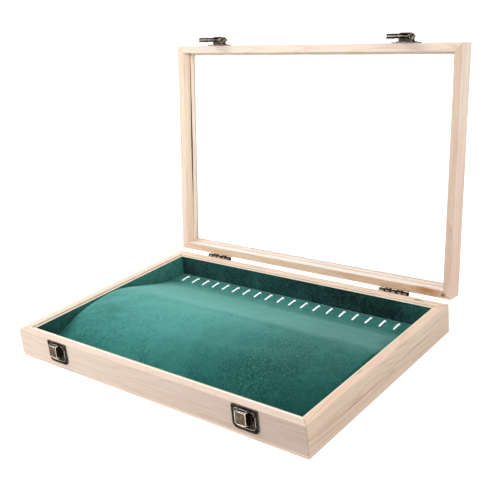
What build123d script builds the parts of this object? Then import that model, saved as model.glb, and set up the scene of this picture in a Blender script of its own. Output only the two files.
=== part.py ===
from build123d import *
import os
from math import acos, asin, degrees

os.makedirs("parts", exist_ok=True)

# Flat wooden display box for necklaces, with a glazed lid on two stop hinges.
# Frame: X to the right, Y to the back, Z up, origin on the floor under the middle of the base.
# Lid pieces are shaped where they lie when shut, then swung open about the hinge line.

# Case
box_width = 350.0
box_depth = 240.0
base_height = 29.0  # floor to rim
bottom_thickness = 2.5
rail_thickness = 8.5
edge_round = 0.7  # sanded arris of every rail
closing_gap = 0.5  # between the rims when shut

# Lid frame and glass
lid_height = 19.4
lid_rail_width = 8.0
lip_width = 2.2  # how far the glass seat stands into the opening
lip_thickness = 3.0
glass_thickness = 2.0
glass_clearance = 0.4
bead_width = 2.2
bead_height = 3.0

# Lining boards and the velvet on them
lining_thickness = 3.0
lining_drop = 1.6  # rim down to the raw top edge of the boards
velvet_thickness = 0.5

# Display pad
pad_clearance = 0.4
board_thickness = 3.0
cover_thickness = 1.0
shoulder_height = 25.7  # where the steep front slope meets the easy one, above the floor
shoulder_place = -58.0  # measured from the middle of the box, like the crest line
shoulder_radius = 120.0
crest_height = 31.1  # where the easy slope meets the back one
crest_place = -2.0
crest_radius = 96.0
toe_radius = 22.0
front_toe_inset = 17.4  # flat strip from the pad's front edge to the ridge
back_toe_inset = 31.4  # and from its back edge, under the hooks
crown_reach = 0.9  # where the crest starts to sink, as a share of the half width
crown_turn = 0.965  # and where it turns down to the pad's ends
turn_drop = 0.5  # how much it has sunk there
end_drop = 1.8  # and at the very ends
pad_edge_round = 1.2
foam_feather = 2.0  # how far each toe of the foam stops short of the cover's toe

# Necklace hooks
hook_count = 20
hook_end_margin = 14.4  # from the pad's ends to the first and last hook
hook_width = 1.3
hook_stock = 0.6
hook_length = 9.6
hook_leg_inset = 8.8  # the row of legs, measured from the pad's back edge
hook_lift = 1.2  # air under the hook's run
hook_bend = 0.9
hook_slit_clearance = 0.1
hook_foot_gap = 0.5  # from the bottom panel up to the cut end of a leg

# Stop hinges
hinge_inset = 60.0  # from the case's ends to the middle of each hinge
hinge_width = 32.0
leaf_height = 12.0
leaf_thickness = 0.9
leaf_corner = 1.5
hinge_offset = 2.6  # pin axis behind the back face
knuckle_radius = 2.0
knuckle_count = 5
knuckle_gap = 0.3
pin_radius = 1.1
pin_fit = 0.05
lid_open_angle = 98.0
stop_reach = 3.3  # tip of the stop lug from the pin axis
stop_width = 1.0
stop_clearance = 0.05

# Clasps
clasp_inset = 59.0  # from the case's ends to the middle of each clasp
clasp_width = 27.0
plate_thickness = 1.0
catch_plate_height = 21.5
catch_plate_drop = 1.3  # rim down to the plate
catch_corner = 5.0
plate_corner = 1.2
catch_root_width = 11.4
catch_face_width = 10.6
catch_top_drop = 3.0  # rim down to the mouth of the catch
catch_face_height = 11.4
catch_root_height = 13.6
catch_depth = 6.4
catch_round = 1.6
mouth_width = 7.8  # the slot in the top of the catch
mouth_depth = 2.8
mouth_stand = 3.7  # middle of the slot above the wood
mouth_drop = 9.5
lid_plate_height = 11.0
lid_plate_rise = 0.8  # lid edge up to the plate
ear_height = 6.6
ear_length = 6.4
ear_thickness = 0.8
ear_gap = 0.3
hasp_pin_rise = 5.6  # lid edge up to the hasp's pin
hasp_pin_stand = 4.6  # pin above the wood
hasp_pin_radius = 0.8
hasp_root_width = 11.5
hasp_root_stand = 9.0
hasp_tip_width = 14.6
hasp_tip_reach = 21.5  # lid edge down to the tip
hasp_tip_length = 16.0
hasp_tip_corner = 3.4
hasp_cheek_stand = 4.6  # edge of the tip's cheeks above the wood
hasp_wall = 0.8
hasp_catch_clearance = 0.5
hasp_rest_clearance = 0.05
hasp_overlap = 0.5  # the neck runs this far into the tip
hasp_neck_end = 1.0  # this and the next rises are measured from the lid edge
hasp_root_start = 2.8
hasp_heel_end = 4.6
hasp_root_end = 9.1
hasp_tail_rise = 12.5
hasp_tail_top = 6.8  # this and the next are measured from the wood
hasp_tail_low = 5.8
hasp_cheek_low = 2.8

# Screws
screw_head_radius = 1.6
screw_head_height = 0.9
screw_shank_radius = 0.8
screw_length = 6.0
pilot_clearance = 0.02
plate_hole_clearance = 0.1
leaf_screw_spacing = 20.0
leaf_screw_row = 7.2  # from the pin axis to the leaf's screws
clasp_screw_spacing = 19.4
catch_screw_rows = 11.6
catch_row_lift = 0.6  # both rows sit this much above the middle of the plate

# Derived places
rim = base_height
lid_edge = rim + closing_gap
lid_top = lid_edge + lid_height
front_face = -box_depth / 2
back_face = box_depth / 2
inner_width = box_width - 2 * rail_thickness
inner_depth = box_depth - 2 * rail_thickness
lid_inner_width = box_width - 2 * lid_rail_width
lid_inner_depth = box_depth - 2 * lid_rail_width
lining_top = rim - lining_drop
pad_half_width = inner_width / 2 - lining_thickness - velvet_thickness - pad_clearance
pad_half_depth = inner_depth / 2 - lining_thickness - velvet_thickness - pad_clearance
front_toe_place = front_toe_inset - pad_half_depth
back_toe_place = pad_half_depth - back_toe_inset
hook_leg_place = pad_half_depth - hook_leg_inset
hinge_reach = box_width / 2 - hinge_inset
clasp_reach = box_width / 2 - clasp_inset
board_top = bottom_thickness + board_thickness
strip_top = board_top + cover_thickness
glass_top = lid_top - lip_thickness
bead_top = glass_top - glass_thickness
hinge_height = rim + closing_gap / 2
hinge_axis = Axis((0, back_face + hinge_offset, hinge_height), (1, 0, 0))
front_plane = Plane(origin=(0, front_face, 0), x_dir=(1, 0, 0), z_dir=(0, -1, 0))
back_plane = Plane(origin=(0, back_face, 0), x_dir=(-1, 0, 0), z_dir=(0, 1, 0))
sides = ["front", "back", "left", "right"]
hands = {"left": -1, "right": 1}


def save(part, name):
    part.label = name
    export_step(part, f"parts/{name}.step")


def swung_open(part):
    return part.rotate(hinge_axis, -lid_open_angle)


# Corners of one mitred side of a frame, seen from above
def mitred_outline(side, width, depth, thickness):
    way = -1 if side in ("front", "left") else 1
    outer_x, outer_y = width / 2, depth / 2
    inner_x, inner_y = outer_x - thickness, outer_y - thickness
    if side in ("front", "back"):
        return [(-outer_x, way * outer_y), (outer_x, way * outer_y),
                (inner_x, way * inner_y), (-inner_x, way * inner_y)]
    return [(way * outer_x, -outer_y), (way * outer_x, outer_y),
            (way * inner_x, inner_y), (way * inner_x, -inner_y)]


# Long edges of a rail at one height
def long_edges(rail, side, level):
    direction = Axis.X if side in ("front", "back") else Axis.Y
    return rail.edges().filter_by(direction).group_by(Axis.Z)[level]


# Screw places on the front and back faces, as (across, height)
catch_row_mid = rim - catch_plate_drop - catch_plate_height / 2 + catch_row_lift
lid_plate_mid = lid_edge + lid_plate_rise + lid_plate_height / 2
hinge_places = [way * hinge_reach for way in hands.values()]
clasp_places = [way * clasp_reach for way in hands.values()]


def pairs(places, spacing, heights):
    return [(place + way * spacing / 2, height)
            for place in places for way in hands.values() for height in heights]


catch_points = pairs(clasp_places, clasp_screw_spacing,
                     [catch_row_mid - catch_screw_rows / 2, catch_row_mid + catch_screw_rows / 2])
lid_plate_points = pairs(clasp_places, clasp_screw_spacing, [lid_plate_mid])
base_leaf_points = pairs(hinge_places, leaf_screw_spacing, [hinge_height - leaf_screw_row])
lid_leaf_points = pairs(hinge_places, leaf_screw_spacing, [hinge_height + leaf_screw_row])


# Base: mitred rails on a thin bottom panel
base_pilots = {"front": (front_plane, catch_points), "back": (back_plane, base_leaf_points)}
for side in sides:
    with BuildPart() as base_rail:
        with BuildSketch(Plane.XY.offset(bottom_thickness)):
            with BuildLine():
                Polyline(*mitred_outline(side, box_width, box_depth, rail_thickness), close=True)
            make_face()
        extrude(amount=rim - bottom_thickness)
        fillet(long_edges(base_rail, side, -1), radius=edge_round)
        if side in base_pilots:
            face, points = base_pilots[side]
            with BuildSketch(face):
                with Locations(*points):
                    Circle(screw_shank_radius + pilot_clearance)
            extrude(amount=-screw_length, mode=Mode.SUBTRACT)
    save(base_rail.part, f"base_{side}_rail")

with BuildPart() as bottom_panel:
    with BuildSketch():
        Rectangle(box_width, box_depth)
    extrude(amount=bottom_thickness)
save(bottom_panel.part, "bottom_panel")

# Lining boards with raw top edges, and the velvet glued to their faces
lined_width = inner_width - 2 * lining_thickness
lined_depth = inner_depth - 2 * lining_thickness
lining_height = lining_top - bottom_thickness
for side in sides:
    way = -1 if side in ("front", "left") else 1
    across = side in ("front", "back")
    board_size = (inner_width, lining_thickness) if across else (lining_thickness, lined_depth)
    velvet_size = (lined_width, velvet_thickness) if across else (
        velvet_thickness, lined_depth - 2 * velvet_thickness)
    board_reach = (inner_depth if across else inner_width) / 2 - lining_thickness / 2
    velvet_reach = board_reach - lining_thickness / 2 - velvet_thickness / 2
    with BuildPart() as lining_board:
        with BuildSketch(Plane.XY.offset(bottom_thickness)):
            with Locations((0, way * board_reach) if across else (way * board_reach, 0)):
                Rectangle(*board_size)
        extrude(amount=lining_height)
    save(lining_board.part, f"{side}_lining_board")
    with BuildPart() as lining_velvet:
        with BuildSketch(Plane.XY.offset(bottom_thickness)):
            with Locations((0, way * velvet_reach) if across else (way * velvet_reach, 0)):
                Rectangle(*velvet_size)
        extrude(amount=lining_height)
    save(lining_velvet.part, f"{side}_lining_velvet")

# Display pad: a stiff board, a foam ridge and a crowned velvet cover
hook_pitch = 2 * (pad_half_width - hook_end_margin) / (hook_count - 1)
hook_places = [(index - (hook_count - 1) / 2) * hook_pitch for index in range(hook_count)]
slit_width = hook_width + 2 * hook_slit_clearance
slit_depth = hook_stock + 2 * hook_slit_clearance
board_half_depth = pad_half_depth - cover_thickness
board_half_width = pad_half_width - cover_thickness


def cut_slits():
    with BuildSketch(Plane.XY) as slits:
        with Locations(*[(place, hook_leg_place) for place in hook_places]):
            Rectangle(slit_width, slit_depth)
    extrude(slits.sketch, amount=rim, mode=Mode.SUBTRACT)


with BuildPart() as pad_board:
    with BuildSketch(Plane.XY.offset(bottom_thickness)):
        Rectangle(2 * board_half_width, 2 * board_half_depth)
    extrude(amount=board_thickness)
    cut_slits()
save(pad_board.part, "pad_board")


# Cross-section of the cover at one station: a ridge that runs out into a flat strip
def cover_section(place, drop):
    with BuildSketch(Plane.YZ.offset(place)) as section:
        with BuildLine():
            top = FilletPolyline(
                (-pad_half_depth, strip_top), (front_toe_place, strip_top),
                (shoulder_place, shoulder_height - drop), (crest_place, crest_height - drop),
                (back_toe_place, strip_top), (pad_half_depth, strip_top),
                radius=[toe_radius, shoulder_radius, crest_radius, toe_radius])
            Polyline(top @ 1, (pad_half_depth, bottom_thickness),
                     (-pad_half_depth, bottom_thickness), top @ 0)
        make_face()
    return section.sketch


# Cross-section of the foam under it: the ridge alone, feathered to nothing at both toes
def foam_section(place, drop):
    with BuildSketch(Plane.YZ.offset(place)) as section:
        with BuildLine():
            top = FilletPolyline(
                (front_toe_place + foam_feather, board_top),
                (shoulder_place, shoulder_height - drop - cover_thickness),
                (crest_place, crest_height - drop - cover_thickness),
                (back_toe_place - foam_feather, board_top), radius=[shoulder_radius, crest_radius])
            Line(top @ 1, top @ 0)
        make_face()
    return section.sketch


# Crown of the pad along its length: share of the half width, and how far the crest has sunk there
crown_stations = [(-1.0, end_drop), (-crown_turn, turn_drop), (-crown_reach, 0.0),
                  (crown_reach, 0.0), (crown_turn, turn_drop), (1.0, end_drop)]
with BuildPart() as pad_foam:
    loft([foam_section(share * board_half_width, drop) for share, drop in crown_stations], ruled=True)
save(pad_foam.part, "pad_foam")

with BuildPart() as pad_cover:
    loft([cover_section(share * pad_half_width, drop) for share, drop in crown_stations], ruled=True)
    for end in (0, -1):
        end_edges = pad_cover.faces().sort_by(Axis.X)[end].edges()
        fillet(end_edges.filter_by(lambda edge: edge.center().Z > board_top), radius=pad_edge_round)
    add(pad_board.part, mode=Mode.SUBTRACT)
    add(pad_foam.part, mode=Mode.SUBTRACT)
    cut_slits()
save(pad_cover.part, "pad_cover")

# Necklace hooks: flat strip bent over, pushed through the velvet into the board
hook_run = strip_top + hook_lift + hook_stock / 2
hook_foot = bottom_thickness + hook_foot_gap
with BuildPart() as necklace_hooks:
    for place in hook_places:
        with BuildSketch(Plane.YZ.offset(place - hook_width / 2)):
            with BuildLine():
                FilletPolyline((hook_leg_place, hook_foot), (hook_leg_place, hook_run),
                               (hook_leg_place - hook_length, hook_run), radius=hook_bend)
            trace(line_width=hook_stock)
        extrude(amount=hook_width)
save(necklace_hooks.part, "necklace_hooks")

# Lid: mitred rails with a lip that the glass rests against
lid_pilots = {"front": (front_plane, lid_plate_points), "back": (back_plane, lid_leaf_points)}
for side in sides:
    with BuildPart() as lid_rail:
        with BuildSketch(Plane.XY.offset(lid_edge)):
            with BuildLine():
                Polyline(*mitred_outline(side, box_width, box_depth, lid_rail_width), close=True)
            make_face()
        extrude(amount=lid_height)
        with BuildSketch(Plane.XY.offset(glass_top)):
            with BuildLine():
                Polyline(*mitred_outline(side, lid_inner_width, lid_inner_depth, lip_width), close=True)
            make_face()
        extrude(amount=lip_thickness)
        fillet(long_edges(lid_rail, side, -1) + long_edges(lid_rail, side, 0), radius=edge_round)
        if side in lid_pilots:
            face, points = lid_pilots[side]
            with BuildSketch(face):
                with Locations(*points):
                    Circle(screw_shank_radius + pilot_clearance)
            extrude(amount=-screw_length, mode=Mode.SUBTRACT)
    save(swung_open(lid_rail.part), f"lid_{side}_rail")

with BuildPart() as glass_pane:
    with BuildSketch(Plane.XY.offset(bead_top)):
        Rectangle(lid_inner_width - 2 * glass_clearance, lid_inner_depth - 2 * glass_clearance)
    extrude(amount=glass_thickness)
save(swung_open(glass_pane.part), "glass_pane")

for side in sides:
    with BuildPart() as glass_bead:
        with BuildSketch(Plane.XY.offset(bead_top - bead_height)):
            with BuildLine():
                Polyline(*mitred_outline(side, lid_inner_width, lid_inner_depth, bead_width), close=True)
            make_face()
        extrude(amount=bead_height)
        inner_edge = long_edges(glass_bead, side, 0).sort_by(
            lambda edge: abs(edge.center().X) + abs(edge.center().Y))[0]
        fillet(inner_edge, radius=bead_height / 2)
    save(swung_open(glass_bead.part), f"{side}_glass_bead")

# Stop hinges: rolled knuckles share the pin, and a lug on the lid leaf meets the base leaf
knuckle_pitch = (hinge_width + knuckle_gap) / knuckle_count
knuckle_length = knuckle_pitch - knuckle_gap
knuckle_sway = knuckle_radius + knuckle_gap
stop_lead = 180 + degrees(acos((hinge_offset - leaf_thickness - stop_clearance) / stop_reach))
stop_angle = stop_lead + degrees(asin(stop_width / 2 / stop_reach)) + lid_open_angle


def knuckle_centres(place, owner):
    first = place - hinge_width / 2 + knuckle_length / 2
    return [first + index * knuckle_pitch for index in range(owner, knuckle_count, 2)]


# A leaf on the back face, below the pin (way -1) or above it (way 1, with the stop lug)
def hinge_leaf(place, way, owner, bore, points):
    centres = knuckle_centres(place, owner)
    axis_y = back_face + hinge_offset
    with BuildPart() as leaf:
        with BuildSketch(back_plane):
            with Locations((-place, hinge_height + way * (knuckle_sway + leaf_height / 2))):
                RectangleRounded(hinge_width, leaf_height, leaf_corner)
            with Locations((-place, hinge_height + way * (knuckle_sway + leaf_corner))):
                Rectangle(hinge_width, 2 * leaf_corner)
            with Locations(*[(-centre, hinge_height + way * knuckle_sway / 2) for centre in centres]):
                Rectangle(knuckle_length, knuckle_sway)
        extrude(amount=leaf_thickness)
        for centre in centres:
            with BuildSketch(Plane.YZ.offset(centre - knuckle_length / 2)):
                with Locations((axis_y, hinge_height)):
                    Circle(knuckle_radius)
            extrude(amount=knuckle_length)
        if way > 0:
            with BuildSketch(Plane.YZ.offset(centres[0] - knuckle_length / 2)):
                with Locations(Location((axis_y, hinge_height, 0), (0, 0, stop_angle))):
                    with Locations((stop_reach / 2, 0)):
                        Rectangle(stop_reach, stop_width)
            extrude(amount=knuckle_length)
        with BuildSketch(Plane.YZ.offset(place - hinge_width)):
            with Locations((axis_y, hinge_height)):
                Circle(bore)
        extrude(amount=2 * hinge_width, mode=Mode.SUBTRACT)
        with BuildSketch(back_plane):
            with Locations(*points):
                Circle(screw_shank_radius + plate_hole_clearance)
        extrude(amount=leaf_thickness, mode=Mode.SUBTRACT)
    return leaf.part


for hand, way in hands.items():
    place = way * hinge_reach
    lower = hinge_leaf(place, -1, 0, pin_radius, base_leaf_points)
    save(lower, f"{hand}_hinge_base_leaf")
    upper = hinge_leaf(place, 1, 1, pin_radius + pin_fit, lid_leaf_points)
    save(swung_open(upper), f"{hand}_hinge_lid_leaf")
    with BuildPart() as hinge_pin:
        with BuildSketch(Plane.YZ.offset(place - hinge_width / 2)):
            with Locations((back_face + hinge_offset, hinge_height)):
                Circle(pin_radius)
        extrude(amount=hinge_width)
    save(hinge_pin.part, f"{hand}_hinge_pin")

# Clasps: a wedge catch on the base with a slot in its top, and a hasp that drops over it
catch_top = rim - catch_top_drop
plate_top = rim - catch_plate_drop


# Outline of the catch at one height above the wood: straight at the mouth, rounded below
def catch_outline(stand, width, height):
    with BuildSketch(front_plane.offset(stand)) as outline:
        with BuildLine():
            FilletPolyline((-width / 2, catch_top), (-width / 2, catch_top - height),
                           (width / 2, catch_top - height), (width / 2, catch_top), radius=catch_round)
            Line((width / 2, catch_top), (-width / 2, catch_top))
        make_face()
    return outline.sketch


def at_place(part, place):
    return part.moved(Location((place, 0, 0)))


with BuildPart() as catch:
    with BuildSketch(front_plane):
        with Locations((0, plate_top - catch_plate_height / 2)):
            Rectangle(clasp_width, catch_plate_height)
        fillet(vertices().group_by(Axis.Y)[0], radius=catch_corner)
        fillet(vertices().group_by(Axis.Y)[-1], radius=plate_corner)
    extrude(amount=plate_thickness)
    loft([catch_outline(plate_thickness, catch_root_width, catch_root_height),
          catch_outline(catch_depth, catch_face_width, catch_face_height)])
    with BuildSketch(Plane.XY.offset(catch_top)):
        with Locations((0, front_face - mouth_stand)):
            Rectangle(mouth_width, mouth_depth)
    extrude(amount=-mouth_drop, mode=Mode.SUBTRACT)
    with BuildSketch(front_plane):
        with Locations(*[(across - clasp_places[1], height)
                         for across, height in catch_points if across > 0]):
            Circle(screw_shank_radius + plate_hole_clearance)
    extrude(amount=plate_thickness, mode=Mode.SUBTRACT)

# Lid plate with two ears that carry the hasp's pin
pin_height = lid_edge + hasp_pin_rise
ear_place = hasp_root_width / 2 + ear_gap + ear_thickness / 2
with BuildPart() as lid_plate:
    with BuildSketch(front_plane):
        with Locations((0, lid_plate_mid)):
            Rectangle(clasp_width, lid_plate_height)
        fillet(vertices().group_by(Axis.Y)[-1], radius=catch_corner / 2)
        fillet(vertices().group_by(Axis.Y)[0], radius=plate_corner)
    extrude(amount=plate_thickness)
    with BuildSketch(front_plane.offset(plate_thickness)):
        with Locations((-ear_place, pin_height), (ear_place, pin_height)):
            Rectangle(ear_thickness, ear_length)
    extrude(amount=ear_height - plate_thickness)
    fillet(lid_plate.edges().filter_by(Axis.X).group_by(Axis.Y)[0], radius=ear_length / 3)
    with BuildSketch(Plane.YZ.offset(-clasp_width / 2)):
        with Locations((front_face - hasp_pin_stand, pin_height)):
            Circle(hasp_pin_radius)
    extrude(amount=clasp_width, mode=Mode.SUBTRACT)
    with BuildSketch(front_plane):
        with Locations(*[(across - clasp_places[1], height)
                         for across, height in lid_plate_points if across > 0]):
            Circle(screw_shank_radius + plate_hole_clearance)
    extrude(amount=plate_thickness, mode=Mode.SUBTRACT)

with BuildPart() as hasp_pin:
    with BuildSketch(Plane.YZ.offset(-ear_place - ear_thickness / 2)):
        with Locations((front_face - hasp_pin_stand, pin_height)):
            Circle(hasp_pin_radius)
    extrude(amount=2 * ear_place + ear_thickness)

# Hasp: one pressed piece, boxed over the pin, a flat neck, and a cap that covers the catch.
# Its heel rests on the lid plate, and its tail meets the plate when it is lifted all the way.
hasp_web = catch_depth + hasp_catch_clearance  # inner face of the neck above the wood
hasp_top = hasp_web + hasp_wall
tip_low = lid_edge - hasp_tip_reach
tip_high = tip_low + hasp_tip_length
heel_low = plate_thickness + hasp_rest_clearance
side_plane = Plane(origin=(0, front_face, lid_edge), x_dir=(0, 0, 1), z_dir=(1, 0, 0))
with BuildPart() as hasp:
    with BuildSketch(side_plane):
        with BuildLine():
            Polyline((tip_high - lid_edge - hasp_overlap, hasp_top), (hasp_neck_end, hasp_top),
                     (hasp_root_start, hasp_root_stand), (hasp_root_end, hasp_root_stand),
                     (hasp_tail_rise, hasp_tail_top), (hasp_tail_rise, hasp_tail_low),
                     (hasp_root_end, hasp_cheek_low), (hasp_pin_rise, hasp_cheek_low),
                     (hasp_heel_end, heel_low), (hasp_root_start, heel_low),
                     (hasp_neck_end, hasp_web), (tip_high - lid_edge - hasp_overlap, hasp_web),
                     close=True)
        make_face()
    extrude(amount=hasp_root_width / 2, both=True)
    with BuildSketch(side_plane):
        with BuildLine():
            Polyline((hasp_root_start, 0), (hasp_root_start, hasp_root_stand - hasp_wall),
                     (hasp_root_end, hasp_root_stand - hasp_wall),
                     (hasp_tail_rise - hasp_wall, hasp_tail_low), (hasp_tail_rise - hasp_wall, 0),
                     close=True)
        make_face()
    extrude(amount=hasp_root_width / 2 - hasp_wall, both=True, mode=Mode.SUBTRACT)
    with BuildSketch(front_plane.offset(hasp_cheek_stand)):
        with Locations((0, (tip_low + tip_high) / 2)):
            Rectangle(hasp_tip_width, hasp_tip_length)
        fillet(vertices().group_by(Axis.Y)[0], radius=hasp_tip_corner)
        fillet(vertices().group_by(Axis.Y)[-1], radius=plate_corner)
    extrude(amount=hasp_top - hasp_cheek_stand)
    with BuildSketch(front_plane.offset(hasp_cheek_stand)):
        with Locations((0, (tip_low + tip_high) / 2 + hasp_wall)):
            Rectangle(hasp_tip_width - 2 * hasp_wall, hasp_tip_length)
        fillet(vertices().group_by(Axis.Y)[0], radius=hasp_tip_corner - hasp_wall)
    extrude(amount=hasp_web - hasp_cheek_stand, mode=Mode.SUBTRACT)
    with BuildSketch(Plane.YZ.offset(-clasp_width / 2)):
        with Locations((front_face - hasp_pin_stand, pin_height)):
            Circle(hasp_pin_radius + pin_fit)
    extrude(amount=clasp_width, mode=Mode.SUBTRACT)

for hand, way in hands.items():
    place = way * clasp_reach
    save(at_place(catch.part, place), f"{hand}_catch")
    save(swung_open(at_place(lid_plate.part, place)), f"{hand}_hasp_plate")
    save(swung_open(at_place(hasp_pin.part, place)), f"{hand}_hasp_pin")
    save(swung_open(at_place(hasp.part, place)), f"{hand}_hasp")

# Screw with a low head that stands on its seat
with BuildPart() as screw:
    with BuildSketch():
        Circle(screw_head_radius)
    extrude(amount=screw_head_height)
    with BuildSketch():
        Circle(screw_shank_radius)
    extrude(amount=-screw_length)


def screws(face, points, seat):
    with BuildPart(face.offset(seat)) as group:
        with Locations(*points):
            add(screw.part)
    return group.part


save(screws(front_plane, catch_points, plate_thickness), "catch_screws")
save(screws(back_plane, base_leaf_points, leaf_thickness), "base_hinge_screws")
save(swung_open(screws(front_plane, lid_plate_points, plate_thickness)), "hasp_plate_screws")
save(swung_open(screws(back_plane, lid_leaf_points, leaf_thickness)), "lid_hinge_screws")
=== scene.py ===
from itertools import product
import math

import bmesh
import bpy
from mathutils import Matrix, Vector, noise


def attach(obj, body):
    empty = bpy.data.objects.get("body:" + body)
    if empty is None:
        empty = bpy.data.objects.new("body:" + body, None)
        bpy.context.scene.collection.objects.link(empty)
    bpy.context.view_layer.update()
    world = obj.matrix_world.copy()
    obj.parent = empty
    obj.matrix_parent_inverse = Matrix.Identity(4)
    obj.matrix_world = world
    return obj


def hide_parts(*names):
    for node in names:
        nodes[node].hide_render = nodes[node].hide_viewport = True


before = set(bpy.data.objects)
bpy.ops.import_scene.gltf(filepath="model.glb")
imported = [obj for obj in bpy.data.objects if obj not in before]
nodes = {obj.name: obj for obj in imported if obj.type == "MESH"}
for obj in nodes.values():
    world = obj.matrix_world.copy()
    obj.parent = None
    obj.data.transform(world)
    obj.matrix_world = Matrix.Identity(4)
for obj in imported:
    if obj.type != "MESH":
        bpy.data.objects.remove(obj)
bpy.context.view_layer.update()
print("frame loaded:", len(nodes), "nodes")

mm = 0.001
quarter = math.radians(90)
openAngle = math.radians(98)
opened = Matrix.Rotation(-openAngle, 3, "X")  # turns the shut lid to where the open one stands
hingeY, hingeZ = 122.6, 29.25
hingeLine = Vector((0, hingeY, hingeZ)) * mm
claspX, hingeX = 116.0, 115.0  # middles of the clasps and hinges, from the box's middle
plateY = -121.0  # outer face of the clasps' plates
frontward, backward, upright = Vector((0, -1, 0)), Vector((0, 1, 0)), Vector((0, 0, 1))
allSides = ("front", "back", "left", "right")


def srgb(red, green, blue):  # picture colour to the linear value a shader wants
    def one(c):
        c = c / 255
        return c / 12.92 if c <= 0.04045 else ((c + 0.055) / 1.055) ** 2.4
    return (one(red), one(green), one(blue), 1)


def swungOpen(point):  # a point of the shut lid, carried to where the open lid holds it
    return opened @ (Vector(point) - hingeLine) + hingeLine


class Wiring:  # a node tree, with a short call for each kind of node used here
    def __init__(self, tree):
        self.tree = tree

    def fill(self, socket, value):
        if isinstance(value, bpy.types.NodeSocket):
            self.tree.links.new(value, socket)
        else:
            socket.default_value = value

    def put(self, kind, inputs=None, **settings):
        node = self.tree.nodes.new("ShaderNode" + kind)
        for key, value in settings.items():
            setattr(node, key, value)
        for key, value in (inputs or {}).items():
            self.fill(node.inputs[key], value)
        return node.outputs

    def group(self, group, **inputs):
        return self.put("Group", {key.replace("_", " "): value for key, value in inputs.items()}, node_tree=group)

    def maths(self, operation, first, second=0.0, clamp=False):
        return self.put("Math", {0: first, 1: second}, operation=operation, use_clamp=clamp)[0]

    def plus(self, first, second, clamp=False):
        return self.maths("ADD", first, second, clamp)

    def minus(self, first, second, clamp=False):
        return self.maths("SUBTRACT", first, second, clamp)

    def times(self, first, second, clamp=False):
        return self.maths("MULTIPLY", first, second, clamp)

    def size(self, value):  # without its sign
        return self.maths("ABSOLUTE", value)

    def mixed(self, factor, first, second, blend="MIX"):
        return self.put("Mix", {0: factor, 6: first, 7: second}, data_type="RGBA", blend_type=blend)[2]

    def ranged(self, value, low, high, toLow=0.0, toHigh=1.0):
        return self.put("MapRange", {0: value, 1: low, 2: high, 3: toLow, 4: toHigh})[0]

    def noise(self, where, scale, detail=2.0, roughness=0.5, distortion=0.0):
        return self.put("TexNoise", {"Vector": where, "Scale": scale, "Detail": detail, "Roughness": roughness,
                                     "Distortion": distortion})[0]

    def vector(self, operation, first, second=None):
        inputs = {0: first} if second is None else {0: first, 1: second}
        outputs = self.put("VectorMath", inputs, operation=operation)
        return outputs["Value" if operation in ("DOT_PRODUCT", "LENGTH") else "Vector"]

    def split(self, vector):
        return self.put("SeparateXYZ", {0: vector})

    def edgeLean(self, radius):  # falls below 1 where a sharp edge is near
        bevel = self.put("Bevel", {"Radius": radius}, samples=6)[0]
        return self.vector("DOT_PRODUCT", bevel, self.put("NewGeometry")["Normal"])

    def looking(self, way, **limits):  # the faces that look one way
        return self.group(facing, Normal=self.put("TexCoord")["Normal"], Way=way, **limits)["Mask"]

    def spot(self, where, place, stretch, reach):
        return self.group(softSpot, Vector=where, Place=place, Stretch=stretch, Reach=reach)["Mask"]

    def stained(self, where, colour, spots):  # each spot: place, stretch, reach, tone, amount
        for place, stretch, reach, tone, amount in spots:
            colour = self.mixed(self.times(self.spot(where, place, stretch, reach), amount), colour, tone)
        return colour

    def bump(self, height, strength, distance):
        return self.put("Bump", {"Strength": strength, "Distance": distance, "Height": height})[0]

    def give(self, **values):  # what a group puts out
        ends = self.tree.nodes["Group Output"].inputs
        for key, value in values.items():
            self.tree.links.new(value, ends[key])

    def shade(self, **values):  # links, or plain values on the shader's own sockets
        shader = self.tree.nodes["Principled BSDF"]
        for key, value in values.items():
            self.fill(shader.inputs[key.replace("_", " ")], value)


def newGroup(name, inputs, outputs):  # a 4-tuple is a colour, a 3-tuple or None a vector
    group = bpy.data.node_groups.new(name, "ShaderNodeTree")
    for label, value in inputs.items():
        kind = "Float" if isinstance(value, float) else "Color" if value and len(value) == 4 else "Vector"
        socket = group.interface.new_socket(label, in_out="INPUT", socket_type="NodeSocket" + kind)
        if value is not None:
            socket.default_value = value
    for label in outputs:
        kind = "Color" if label == "Color" else "Float"
        group.interface.new_socket(label, in_out="OUTPUT", socket_type="NodeSocket" + kind)
    group.nodes.new("NodeGroupOutput")
    return group, Wiring(group), group.nodes.new("NodeGroupInput").outputs


def newMaterial(name):
    material = bpy.data.materials.new(name)
    material.use_nodes = True
    w = Wiring(material.node_tree)
    return material, w, w.put("TexCoord")["Object"]


def dress(node, material):
    nodes[node].material_slots[0].material = material


print("stage: shared effects")

# Bare softwood: growth rings round a far pith line, fine fibre streaks, slow blushes, short dark pores
pineGrain, w, given = newGroup(
    "pineGrain",
    {"Vector": None, "Pale": (0.9, 0.76, 0.62, 1), "Dark": (0.76, 0.56, 0.4, 1), "Blush": (0.87, 0.66, 0.52, 1),
     "Ring Gap": 0.004, "Contrast": 0.5, "Pith Y": 0.06, "Pith Z": -0.04, "Seed": 0.0},
    ("Color", "Rings", "Height"))
shift = w.put("CombineXYZ", {0: given["Seed"], 1: 0.0, 2: 0.0})[0]
moved = w.vector("ADD", given["Vector"], shift)
slow = w.vector("MULTIPLY", moved, (0.12, 1, 1))
stretched = w.vector("MULTIPLY", moved, (0.03, 1, 1))
wander = w.noise(slow, 38.0, 2.0, 0.45)
broad = w.noise(slow, 60.0, 3.0)
fibre = w.noise(stretched, 620.0, 4.0, 0.6)
pore = w.noise(stretched, 1500.0, 1.0)
parts = w.split(moved)
across, aloft = w.minus(parts[1], given["Pith Y"]), w.minus(parts[2], given["Pith Z"])
span = w.maths("SQRT", w.plus(w.times(across, across), w.times(aloft, aloft)))
saw = w.maths("FRACT", w.maths("DIVIDE", w.plus(span, w.times(wander, 0.034)), given["Ring Gap"]))
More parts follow.
